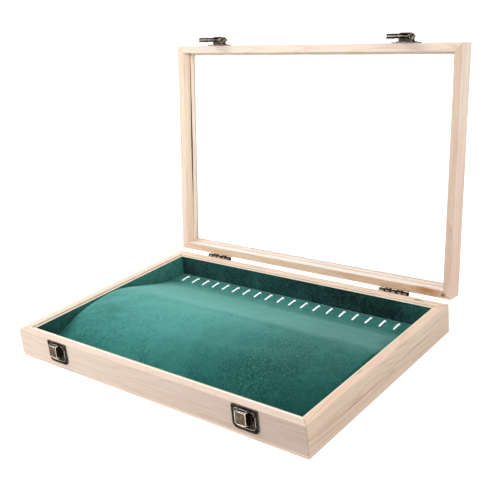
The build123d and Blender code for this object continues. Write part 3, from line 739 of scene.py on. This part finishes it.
haspBeads = {
    "faceY": -120, "tip": 8.0, "neck": 24.0, "corner": 3.4, "bright": (7.3, 6.2, 0.34),
    "dark": ((7.1, 4.8, 0.72), (6.8, 7.6, 0.72)),
    "ridges": ((32.3, 8.8, 0.7), (38.4, 8.7, 0.7), (41.4, 6.9, 0.6)), "crown": (35.4, 9.0, 0.95),
    "ridgeSteps": (-5.6, -2.8, 0, 2.8, 5.6), "crownSteps": (-5.5, -2.7, 0, 2.7, 5.5), "pinZ": 35.1,
    "scroll": ((32.6, 2.2), (33.2, 4.6), (34.6, 6.6), (36.4, 6.4), (37.6, 4.6), (37.4, 2.6), (38.6, 1.5)),
    "scrollX": 6.95, "scrollBead": 0.4, "bossX": 6.8, "bossStand": 4.6, "boss": (2.1, 0.9),
    "ringX": 6.85, "ringStand": 4.4, "ring": (2.6, 2.3), "ringBead": 0.35, "ringSteps": 12,
}


def dressHasp(hand, centre):  # beads on the hasp: dark rims, ridges and ear rings as painted shade, a bright rim and crown as painted highlight, and the scrolls on the ears
    s = haspBeads
    off = opened @ frontward

    def at(x, z, stand):
        return swungOpen(Vector((centre + x, s["faceY"] - stand, z)) * mm) / mm

    def rim(half, stand, radius):
        flat = rounded([(half, s["neck"]), (half, s["tip"]), (-half, s["tip"]), (-half, s["neck"])],
                       (0, s["corner"], s["corner"], 0))
        return tubeRun([at(x, z, stand) for x, z in flat], radius, off)

    def ridge(z, stand, radius, steps):
        return tubeRun([at(x, z, stand) for x in steps], radius, off)

    shadeRuns = [rim(*one) for one in s["dark"]] + [ridge(*one, s["ridgeSteps"]) for one in s["ridges"]]
    highlightRuns = [rim(*s["bright"]), ridge(*s["crown"], s["crownSteps"])]
    beadSet(f"{hand}HaspRims", shadeRuns, shadowBronze, f"{hand}_hasp")
    beadSet(f"{hand}HaspShine", highlightRuns, highlightBronze, f"{hand}_hasp")
    bosses, rings = [], []
    for way in (-1, 1):
        side = Vector((way, 0, 0))
        bosses.append(domeRun(at(way * s["bossX"], s["pinZ"], s["bossStand"]), *s["boss"], side))
        bosses.append(tubeRun([at(way * s["scrollX"], *one) for one in s["scroll"]], s["scrollBead"], side))
        around = [(s["pinZ"] + s["ring"][0] * x, s["ringStand"] + s["ring"][1] * y)
                  for x, y in circle(s["ringSteps"])]
        rings.append(tubeRun([at(way * s["ringX"], *one) for one in around], s["ringBead"], side, closed=True))
    beadSet(f"{hand}EarBosses", bosses, softBronze, "lid")
    beadSet(f"{hand}EarRings", rings, shadowBronze, "lid")


for hand, way in (("left", -1), ("right", 1)):
    dressCatch(hand, way * claspX)
    dressHasp(hand, way * claspX)

print("stage: screws")

screwShape = {
    "headRadius": 1.7, "headHeight": 0.9, "lip": 0.18, "shankRadius": 0.78, "length": 5.9, "rings": 7,
    "segments": 28, "slotReach": 1.05, "slotHalf": 0.2, "slotDepth": 0.5, "slotTaper": 0.55, "slotTurn": 0.4,
    "tip": 0.12, "clear": 0.02, "turnStep": 0.7, "firstTurn": 0.2, "smooth": 35,
}


def screwMesh():  # domed head with a cross recess, tapering shank
    s = screwShape
    profile = [(0, s["headHeight"])]
    profile += [(s["headRadius"] * math.sin(angle), s["lip"] + (s["headHeight"] - s["lip"]) * math.cos(angle))
                for angle in arc(s["rings"])]
    profile += [(s["headRadius"], s["clear"]), (s["shankRadius"], 0.0), (s["shankRadius"], -s["length"] * 0.7),
                (s["tip"], -s["length"])]
    vertices, faces = lathed(profile, s["segments"])
    body = bpy.data.meshes.new("screwBody")
    body.from_pydata([tuple(c * mm for c in v) for v in vertices], [], faces)
    cutter = bmesh.new()
    for turn in (0, quarter):
        for v in bmesh.ops.create_cube(cutter, size=1.0)["verts"]:
            top = v.co.z > 0
            taper = 1.0 if top else s["slotTaper"]
            v.co = Vector((v.co.x * 2 * s["slotReach"] * taper, v.co.y * 2 * s["slotHalf"] * taper,
                           s["headHeight"] + 1.0 if top else s["headHeight"] - s["slotDepth"])) * mm
            v.co.rotate(Matrix.Rotation(turn + s["slotTurn"], 3, "Z"))
    bmesh.ops.recalc_face_normals(cutter, faces=cutter.faces)
    cutMesh = meshOf(cutter, "crossCutter")
    bodyObject = addObject("screwBody", body)
    cutObject = addObject("crossCutter", cutMesh)
    outward(bodyObject)
    cut = bodyObject.modifiers.new("cross", "BOOLEAN")
    cut.object = cutObject
    cut.operation = "DIFFERENCE"
    cut.solver = "EXACT"
    cut.use_self = True
    applyAll(bodyObject)
    mesh = bodyObject.data
    bpy.data.objects.remove(bodyObject)
    bpy.data.objects.remove(cutObject)
    return mesh


def screwSet(name, node, places, outDirection, body):
    work = bmesh.new()
    basis = outDirection.to_track_quat("Z", "X").to_matrix()
    for index, place in enumerate(places):
        turn = screwShape["turnStep"] * index + screwShape["firstTurn"]
        turned = (basis @ Matrix.Rotation(turn, 3, "Z")).to_4x4()
        turned.translation = place
        loose = oneScrew.copy()
        loose.transform(turned)
        work.from_mesh(loose)
        bpy.data.meshes.remove(loose)
    mesh = meshOf(work, name)
    piece = housed(name, mesh, screwBronze, body)
    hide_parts(node)
    sharpen(mesh, screwShape["smooth"])


oneScrew = screwMesh()
screwPlaces = {"catchZ": 17.55, "catchRise": 5.8, "claspApart": 9.7, "haspPlateZ": 35.8, "leafApart": 10,
               "leafY": 120.9, "leafRise": 7.2}


def placeScrews():
    s = screwPlaces
    catches, lidPlates, baseLeaves, lidLeaves = [], [], [], []
    for way in (-1, 1):
        for pair in (-1, 1):
            claspAt, leafAt = way * claspX + pair * s["claspApart"], way * hingeX + pair * s["leafApart"]
            for height in (s["catchZ"] - s["catchRise"], s["catchZ"] + s["catchRise"]):
                catches.append(Vector((claspAt, plateY, height)) * mm)
            lidPlates.append(swungOpen(Vector((claspAt, plateY, s["haspPlateZ"])) * mm))
            baseLeaves.append(Vector((leafAt, s["leafY"], hingeZ - s["leafRise"])) * mm)
            lidLeaves.append(swungOpen(Vector((leafAt, s["leafY"], hingeZ + s["leafRise"])) * mm))
    screwSet("catchScrews", "catch_screws", catches, frontward, "base")
    screwSet("haspPlateScrews", "hasp_plate_screws", lidPlates, opened @ frontward, "lid")
    screwSet("baseHingeScrews", "base_hinge_screws", baseLeaves, backward, "base")
    screwSet("lidHingeScrews", "lid_hinge_screws", lidLeaves, opened @ backward, "lid")


placeScrews()

print("stage: hooks")

hookShape = {
    "count": 20, "pitch": 15.6, "legY": 99.3, "legFoot": 3.1, "run": 7.95, "length": 12.0, "width": 1.7,
    "stock": 0.65, "bend": 0.5, "fall": 0.95, "arc": 4, "shift": 0.4, "squeeze": 1.6, "squeezeFrom": 60,
    "tipShare": 0.8, "swing": 0.06, "lift": 0.15, "vary": 0.9, "edge": 0.12, "smooth": 40,
}


def hookPath(lift, reach):
    s = hookShape
    points = [(s["legY"], s["legFoot"]), (s["legY"], s["run"] - s["bend"])]
    for angle in arc(s["arc"]):
        points.append((s["legY"] - s["bend"] * (1 - math.cos(angle)), s["run"] - s["bend"] * (1 - math.sin(angle))))
    for share in (0.4, 0.75, 1.0):
        points.append((s["legY"] - s["bend"] - (reach - s["bend"]) * share, s["run"] + (lift - s["fall"]) * share))
    return points


def hookCentre(index):  # pushed in by hand: the row closes up a little towards its left end
    s = hookShape
    even = (index - (s["count"] - 1) / 2) * s["pitch"]
    share = min(max((-even - s["squeezeFrom"]) / s["squeezeFrom"], 0), 1)
    return even + s["shift"] + s["squeeze"] * share


def hookRow():
    s = hookShape
    vertices, faces = [], []
    for index in range(s["count"]):
        centre = hookCentre(index)
        wobble = noise.noise(Vector((index * 3.7, 1.3, 0.4)))
        swing = s["swing"] * noise.noise(Vector((index * 2.1, 7.9, 3.3)))
        path = hookPath(s["lift"] * wobble, s["length"] + s["vary"] * wobble)
        base = len(vertices)
        for k, (y, z) in enumerate(path):
            before, after = path[max(k - 1, 0)], path[min(k + 1, len(path) - 1)]
            run = Vector((after[0] - before[0], after[1] - before[1])).normalized()
            side = Vector((-run.y, run.x)) * s["stock"] / 2
            halfWidth = s["width"] / 2 * (s["tipShare"] if k == len(path) - 1 else 1.0)
            drift = swing * (s["legY"] - y)
            for across, over in ((-1, -1), (1, -1), (1, 1), (-1, 1)):
                vertices.append(Vector((centre + drift + across * halfWidth, y + over * side.x,
                                        z + over * side.y)) * mm)
        faces += bridged(len(path), 4, base=base)
        faces.append((base, base + 3, base + 2, base + 1))
        faces.append(capped(base + 4 * (len(path) - 1), 4))
    row = addPiece("necklaceHooks", vertices, faces, glowingHook, "base")
    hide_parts("necklace_hooks")
    edge = row.modifiers.new("edge", "BEVEL")
    edge.width = s["edge"] * mm
    edge.segments = 2
    edge.limit_method = "ANGLE"
    edge.angle_limit = math.radians(s["smooth"])
    applyAll(row)
    sharpen(row.data, s["smooth"])


hookRow()

print("stage: glass beads")

beadShape = {
    "outerX": 166.95, "outerY": 111.95, "width": 2.15, "height": 2.95, "low": 40.92, "steps": 44, "bow": 0.35,
    "standOff": 1.8, "section": ((0, 0), (0, 1), (1, 1), (1, 0.62), (0.93, 0.3), (0.78, 0.1), (0.55, 0)),
}


def layOf(side):  # whether the side runs along x, and its sign on the other axis
    return side in ("front", "back"), -1 if side in ("front", "left") else 1


def gapShare(share):  # how far the sprung bead stands off along its length
    return (1 - ((share + 1) / 2) ** 6) * (0.8 + 0.2 * math.cos(share * 2.5))


def beadPiece(side):  # thin moulding, a little bowed where it is only pinned at its ends
    s = beadShape
    lengthwise, way = layOf(side)
    outer, half = (s["outerY"], s["outerX"]) if lengthwise else (s["outerX"], s["outerY"])
    vertices = []
    for k in range(s["steps"] + 1):
        share = k / s["steps"] * 2 - 1
        bow = s["bow"] * (1 - share ** 2) * (0.55 + 0.45 * math.sin(share * 2.2 + len(side)))
        wave = 0.10 * math.sin(share * 9 + 2 * len(side))
        for inwardShare, upShare in s["section"]:
            inward = inwardShare * s["width"]
            place = share * (half - inward)
            reach = outer - inward - (bow * 0.25 if 0 < inwardShare else 0)
            if side == "left":  # sprung away from its rail, most of all near the top
                reach -= s["standOff"] * gapShare(share)
            lift = -(bow * 0.5) * (1 if upShare < 0.9 else 0.55) - abs(wave) * 0.4
            up = s["low"] + upShare * s["height"] + lift
            flat = (place, way * reach, up) if lengthwise else (way * reach, place, up)
            vertices.append(swungOpen(Vector(flat) * mm))
    ring = len(s["section"])
    faces = bridged(s["steps"] + 1, ring) + [capped(0, ring), capped(s["steps"] * ring, ring, turned=True)]
    finish = pineFinish(f"{side}Bead", turn=lidTurn if lengthwise else lidTurnSide, seed=20.0 + 3 * len(side) + way,
                        pith=(0.3, -0.3), contrast=0.9, lid=True, seams=False)
    piece = addPiece(f"{side}GlassBead", vertices, faces, finish, "lid", 40)
    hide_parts(f"{side}_glass_bead")


for side in allSides:
    beadPiece(side)

gapShape = {"wall": 166.93, "floor": 43.86, "thick": 0.07, "steps": 40, "start": -0.995, "end": 0.8, "deep": 3.3,
            "ragged": 0.25}


def gapShadow():  # painted shadow: a dark brown strip in the slit that the sprung bead leaves beside the left rail, where shade falls
    s = gapShape
    ring, floor, thick = 6, s["floor"], s["thick"]
    vertices = []
    for k in range(s["steps"] + 1):
        share = s["start"] + (s["end"] - s["start"]) * k / s["steps"]
        taper = gapShare(share) * min(1, (s["end"] - share) * 2.2 + 0.04)
        ragged = s["ragged"] * noise.noise(Vector((share * 9, 2.2, 0.3)))
        low = floor - (s["deep"] + ragged) * taper - 0.1
        wide = beadShape["standOff"] * gapShare(share) * 0.96
        for inward, up in ((0, low), (0, floor), (wide, floor), (wide, floor - thick), (thick, floor - thick),
                           (thick, low)):
            vertices.append(swungOpen(Vector((-s["wall"] + inward, share * beadShape["outerY"], up)) * mm))
    faces = bridged(s["steps"] + 1, ring) + [capped(0, ring), capped(ring * s["steps"], ring)]
    piece = addPiece("leftGapShadow", vertices, faces, gapShadowBrown, "lid")
    piece.data.shade_flat()


gapShadow()

# the brown line round the lining is painted shade
print("stage: glued seam round the lining")

seamShape = {"innerX": 166.5, "innerY": 111.5, "top": 27.4, "width": 0.35, "rise": 0.22, "steps": 40}


# painted shade: a thin brown strip where the rail's inner face stands in shade above the lining's top edge
def liningShadeLine():
    s = seamShape
    steps = s["steps"]
    vertices, faces = [], []
    corners = [(-1, -1), (1, -1), (1, 1), (-1, 1)]
    for first, second in zip(corners, corners[1:] + corners[:1]):
        base = len(vertices)
        for j in range(steps + 1):
            t = j / steps
            x, y = (first[axis] + (second[axis] - first[axis]) * t for axis in (0, 1))
            ragged = 0.5 + 0.5 * noise.noise(Vector((x * 14, y * 14, 0.7)))
            wide = s["width"] * (0.5 + 0.7 * ragged)
            for inset, up in ((0.0, 0.0), (0.0, s["rise"] * (0.6 + ragged)), (wide, 0.0)):
                vertices.append(Vector((x * (s["innerX"] - inset), y * (s["innerY"] - inset), s["top"] + up)) * mm)
        faces += bridged(steps + 1, 3, base=base) + [capped(base, 3), capped(base + 3 * steps, 3, turned=True)]
    addPiece("liningShadeStrip", vertices, faces, seamShadeBrown, "base")


liningShadeLine()

print("stage: lining velvet")

wallShape = {"halfX": 163.5, "halfY": 108.5, "thick": 0.5, "low": 2.6, "high": 27.15, "cell": 3.2, "ripple": 0.16,
             "rows": 8, "clear": 0.02, "seat": 0.03, "settle": 0.06, "thinTop": 0.55, "fray": 0.18}


def wallVelvetPiece(side):
    s = wallShape
    lengthwise, way = layOf(side)
    half = s["halfX"] - s["clear"] if lengthwise else s["halfY"] - s["thick"] - s["clear"]
    outer = s["halfY"] if lengthwise else s["halfX"]
    columns, rows = max(2, round(2 * half / s["cell"])), s["rows"]
    vertices = []
    for layer, row, column in product((0, 1), range(rows + 1), range(columns + 1)):
        high = s["low"] + (s["high"] - s["low"]) * row / rows
        across = -half + 2 * half * column / columns
        ripple = s["ripple"] * noise.noise(Vector((across * 0.05, high * 0.11, 5.0 * len(side) + way)))
        depth = s["thick"] - s["settle"] + ripple * 0.5 if layer else s["seat"]
        if layer == 1 and row == rows:
            depth *= s["thinTop"]
        fray = s["fray"] * noise.noise(Vector((across * 0.6, 9.1, way))) if row == rows else 0
        out, up = way * (outer - depth), high + fray
        vertices.append(Vector((across, out, up) if lengthwise else (out, across, up)) * mm)
    faces = sheetFaces(columns, rows)
    piece = addPiece(f"{side}WallVelvet", vertices, faces, wallVelvets[side], "base", 40)
    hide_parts(f"{side}_lining_velvet")


for side in allSides:
    wallVelvetPiece(side)

print("stage: display pad")

padShape = {
    "halfX": 162.6, "halfY": 107.7, "low": 2.6, "strip": 6.45, "frontToe": -90.2, "shoulderY": -58.0,
    "shoulder": 25.5, "shoulderSoft": 11.8, "crestY": -2.0, "crest": 30.9, "crestSoft": 7.9, "backToe": 76.2,
    "toeSoft": 2.4, "endDrop": 1.8, "endStart": 0.9, "edgeRound": 1.1, "cell": 2.6, "pressure": 4.0, "frames": 20,
    "cap": 0.5, "drawIn": 0.35, "dimple": 0.25, "dimpleReach": 2.4, "tension": 25, "compression": 18,
    "bending": 2.0, "slack": 0.25, "bow": 0.3, "rim": 0.985, "stripHold": 0.9,
    "swells": ((0.02, 1.7, 0.3), (0.1, 4.2, 0.07)),
}


def softMin(a, b, k):
    h = max(k - abs(a - b), 0) / k
    return min(a, b) - h * h * k / 4


def padTop(x, y):
    s = padShape
    out = (abs(x) / s["halfX"] - s["endStart"]) / (1 - s["endStart"])
    sunk = s["endDrop"] * min(max(out, 0), 1) ** 2.6 + s["bow"] * (x / s["halfX"]) ** 2
    shoulder, crest = s["shoulder"] - sunk, s["crest"] - sunk
    steep = s["strip"] + (shoulder - s["strip"]) / (s["shoulderY"] - s["frontToe"]) * (y - s["frontToe"])
    easy = shoulder + (crest - shoulder) / (s["crestY"] - s["shoulderY"]) * (y - s["shoulderY"])
    back = s["strip"] + (crest - s["strip"]) / (s["backToe"] - s["crestY"]) * (s["backToe"] - y)
    ridge = softMin(softMin(steep, easy, s["shoulderSoft"]), back, s["crestSoft"])
    top = -softMin(-ridge, -s["strip"], s["toeSoft"])
    for edge in (s["halfX"] - abs(x), s["halfY"] - abs(y)):  # the cover rolls over every edge
        if edge < s["edgeRound"]:
            t = 1 - edge / s["edgeRound"]
            top -= s["edgeRound"] * (1 - math.sqrt(max(1 - t * t, 0)))
    return top


def puffedUp(piece, vertices, fixed):  # a short cloth run under pressure, the underside held
    s = padShape
    start = [v.co.copy() for v in piece.data.vertices]
    held = piece.vertex_groups.new(name="held")
    for index, (x, y, z) in enumerate(vertices):
        strip = 1.0 if y > s["backToe"] + 6 else 0.0
        rimmed = 1.0 if max(abs(x) / s["halfX"], abs(y) / s["halfY"]) > s["rim"] else 0.0
        weight = 1.0 if index < fixed else max(strip * s["stripHold"], rimmed)
        if weight > 0:
            held.add([index], weight, "REPLACE")
    cloth = piece.modifiers.new("puff", "CLOTH")
    cloth.settings.use_pressure = True
    cloth.settings.uniform_pressure_force = s["pressure"]
    cloth.settings.effector_weights.gravity = 0
    cloth.settings.vertex_group_mass = "held"
    cloth.settings.tension_stiffness = s["tension"]
    cloth.settings.compression_stiffness = s["compression"]
    cloth.settings.bending_stiffness = s["bending"]
    cloth.point_cache.frame_start = 1
    cloth.point_cache.frame_end = s["frames"]
    for step in range(1, s["frames"] + 1):
        bpy.context.scene.frame_set(step)
    applyAll(piece)
    bpy.context.scene.frame_set(1)
    for index, v in enumerate(piece.data.vertices):
        move = v.co - start[index]
        if move.length > s["cap"] * mm:
            move = move.normalized() * s["cap"] * mm
        if index < fixed:
            move = Vector((0, 0, 0))
        v.co = start[index] + move


def displayPad():
    s = padShape
    columns, rows = round(2 * s["halfX"] / s["cell"]), round(2 * s["halfY"] / s["cell"])
    vertices = []

    def spread(index, count, half):  # closer rows at the rims, where the cover turns over
        t = index / count * 2 - 1
        return half * math.copysign(1 - (1 - abs(t)) ** 1.06, t)

    for layer, row, column in product((0, 1), range(rows + 1), range(columns + 1)):
        x, y = spread(column, columns, s["halfX"]), spread(row, rows, s["halfY"])
        drawnX = s["drawIn"] * (1 - (y / s["halfY"]) ** 2)  # sides pull in between the corners
        drawnY = s["drawIn"] * (1 - (x / s["halfX"]) ** 2)
        vertices.append((x - math.copysign(drawnX * abs(x / s["halfX"]) ** 8, x),
                         y - math.copysign(drawnY * abs(y / s["halfY"]) ** 8, y),
                         padTop(x, y) if layer else s["low"]))
    faces = sheetFaces(columns, rows)
    piece = addPiece("displayPad", [Vector(v) * mm for v in vertices], faces, padVelvet, "base")
    count = len(vertices) // 2
    puffedUp(piece, vertices, count)
    for index, v in enumerate(piece.data.vertices):
        if index < count:
            continue
        x, y = v.co.x / mm, v.co.y / mm
        soft = sum(noise.noise(Vector((x * often, y * often, seed))) * much for often, seed, much in s["swells"])
        drop = 0.0
        for k in range(hookShape["count"]):  # each leg pulls the velvet down a little
            far = math.hypot(x - hookCentre(k), y - hookShape["legY"])
            if far < s["dimpleReach"]:
                drop = s["dimple"] * (1 - far / s["dimpleReach"]) ** 2
        flatness = min(1, max(0, (v.co.z / mm - s["strip"]) / 3))
        v.co.z += (soft * (0.25 + 0.75 * flatness) - drop) * mm
        v.co.x = max(-s["halfX"] - s["slack"], min(s["halfX"] + s["slack"], x)) * mm
        v.co.y = max(-s["halfY"] - s["slack"], min(s["halfY"] + s["slack"], y)) * mm
    finer = piece.modifiers.new("finer", "SUBSURF")
    finer.levels = finer.render_levels = 1
    applyAll(piece)
    piece.data.shade_smooth()
    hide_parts("pad_cover", "pad_foam")


displayPad()

print("stage: floor, light and camera")

studio = {
    "floorHalf": 6, "floorTone": (0.86, 0.86, 0.86, 1), "floorGlow": 0.56, "airTone": (0.98, 0.99, 1.0, 1),
    "airGlow": 0.57,
}


def seenDirectly(w):  # rays of the camera, mirrors and glass see the white ground, the light of the scene doesn't
    ray = w.put("LightPath")
    mirrored = w.maths("MAXIMUM", ray["Is Glossy Ray"], ray["Is Transmission Ray"])
    return w.maths("MAXIMUM", ray["Is Camera Ray"], mirrored)


def layFloor():
    h = studio["floorHalf"]
    mesh = bpy.data.meshes.new("studioFloor")
    mesh.from_pydata([(-h, -h, 0), (h, -h, 0), (h, h, 0), (-h, h, 0)], [], [(0, 1, 2, 3)])
    studioFloor = addObject("studioFloor", mesh)
    material, w = newMaterial("paleFloor")[:2]
    w.shade(Base_Color=studio["floorTone"], Roughness=0.9, Specular_IOR_Level=0.0, Emission_Color=(1, 1, 1, 1),
            Emission_Strength=w.times(seenDirectly(w), studio["floorGlow"]))
    mesh.materials.append(material)


def fillAir():
    world = bpy.data.worlds.new("studioAir")
    bpy.context.scene.world = world
    world.use_nodes = True
    world.node_tree.nodes.clear()
    w = Wiring(world.node_tree)
    air = w.put("Background", {"Color": studio["airTone"], "Strength": studio["airGlow"]})[0]
    white = w.put("Background", {"Color": (1, 1, 1, 1), "Strength": 1.0})[0]
    w.put("OutputWorld", {"Surface": w.put("MixShader", {0: seenDirectly(w), 1: air, 2: white})[0]})


layFloor()
fillAir()

lamps = {
    "keyLeft": {"place": (-1.3, -0.9, 1.5), "aim": (0, 0, 0.03), "energy": 22, "color": (1.0, 0.985, 0.965),
                "size": 1.0, "size_y": 1.0},
    "fillRight": {"place": (1.6, -1.2, 1.1), "aim": (0, 0, 0.05), "energy": 15, "color": (0.97, 0.985, 1.0),
                  "size": 1.4, "size_y": 1.2},
    "backLeft": {"place": (-1.1, 1.2, 0.9), "aim": (0, 0, 0.03), "energy": 14, "color": (1.0, 0.99, 0.98),
                 "size": 1.2, "size_y": 0.8},
    "snootRight": {"place": (0.9, -0.5, 0.5), "aim": (-0.165, 0.16, 0.175), "energy": 20,
                   "spot_size": math.radians(17), "spot_blend": 1.0, "shadow_soft_size": 0.06},
}
for name, lamp in lamps.items():  # the snoot lights the inner face of the lid's left rail
    place, aim = Vector(lamp.pop("place")), Vector(lamp.pop("aim"))
    light = bpy.data.lights.new(name, "AREA" if "size" in lamp else "SPOT")
    if light.type == "AREA":
        light.shape = "RECTANGLE"
    for key, value in lamp.items():
        setattr(light, key, value)
    holder = addObject(name, light)
    holder.visible_glossy = name != "backLeft"  # no hard white panel in the shut lid's glass
    holder.location = place
    holder.rotation_euler = (aim - place).to_track_quat("-Z", "Y").to_euler()

view = {
    "place": (0.48094, -0.52533, 0.35797), "right": (0.779674, 0.619021, -0.094455),
    "up": (-0.130328, 0.307956, 0.942432), "back": (0.612473, -0.722479, 0.320781),
    "lens": 57.294, "shiftX": 0.00524, "shiftY": -0.04146, "sensor": 36, "near": 0.01,
}
lens = bpy.data.cameras.new("photoCamera")
lens.sensor_width = view["sensor"]
lens.lens = view["lens"]
lens.shift_x, lens.shift_y = view["shiftX"], view["shiftY"]
lens.clip_start = view["near"]
photoCamera = addObject("photoCamera", lens)
axes = Matrix((view["right"], view["up"], view["back"])).transposed()
photoCamera.matrix_world = Matrix.Translation(view["place"]) @ axes.to_4x4()
bpy.context.scene.camera = photoCamera
bpy.context.scene.view_settings.view_transform = "Standard"
